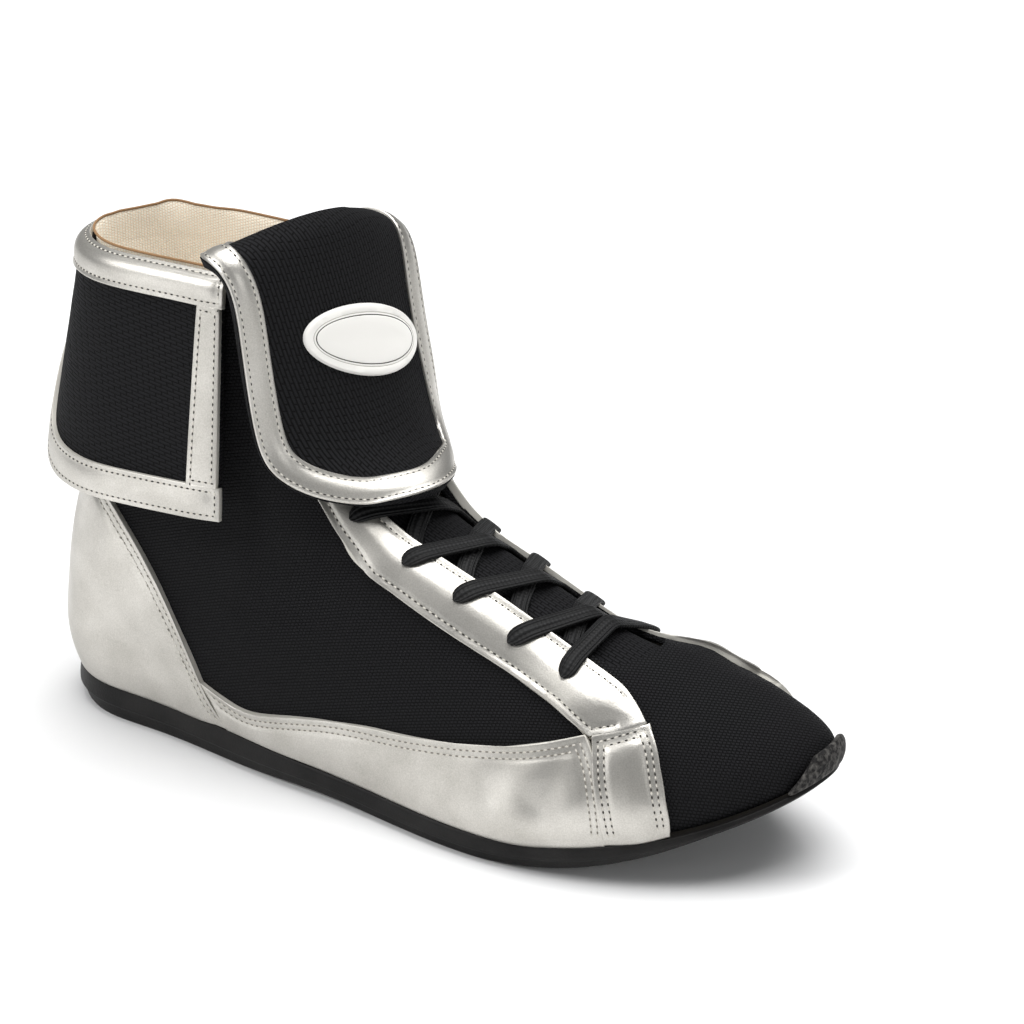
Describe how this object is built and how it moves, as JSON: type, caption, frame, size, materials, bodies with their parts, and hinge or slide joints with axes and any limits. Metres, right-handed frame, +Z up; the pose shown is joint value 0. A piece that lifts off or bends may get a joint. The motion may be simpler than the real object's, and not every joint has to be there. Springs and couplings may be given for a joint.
{
  "type": "boxing shoe",
  "caption": "Right boxing shoe, thin rubber sole with toe spring, black mesh upper with silver overlays, folded cuff and a bound tongue flap hanging over the laces.",
  "frame": {"origin": "centre of the heel's flat rest face on the floor plane", "axes": "+X along the shoe to the toe, +Y to the inner side of the foot, +Z up"},
  "size_m": [0.2876, 0.0981, 0.1902],
  "materials": {
    "black_rubber": "matte",
    "black_mesh": "matte",
    "beige_mesh": "matte",
    "silver_leather": "satin metallic",
    "white_badge": "satin",
    "black_lace": "matte"
  },
  "bodies": {
    "root": {"sole": "black_rubber", "toe_guard": "black_rubber", "upper": "black_mesh", "cuff": "black_mesh", "tongue": "black_mesh", "insole": "beige_mesh", "counter": "silver_leather", "mudguard_lateral": "silver_leather", "mudguard_medial": "silver_leather", "vamp_strap_lateral": "silver_leather", "vamp_strap_medial": "silver_leather", "eyestay_lateral": "silver_leather", "eyestay_medial": "silver_leather", "cuff_top_band": "silver_leather", "cuff_hem_band": "silver_leather", "cuff_front_band_lateral": "silver_leather", "cuff_front_band_medial": "silver_leather", "tongue_binding": "silver_leather", "tongue_badge": "white_badge", "lace_bar": "black_lace", "lace_cross_1": "black_lace", "lace_cross_2": "black_lace", "lace_cross_3": "black_lace", "lace_cross_4": "black_lace"}
  },
  "joints": []
}
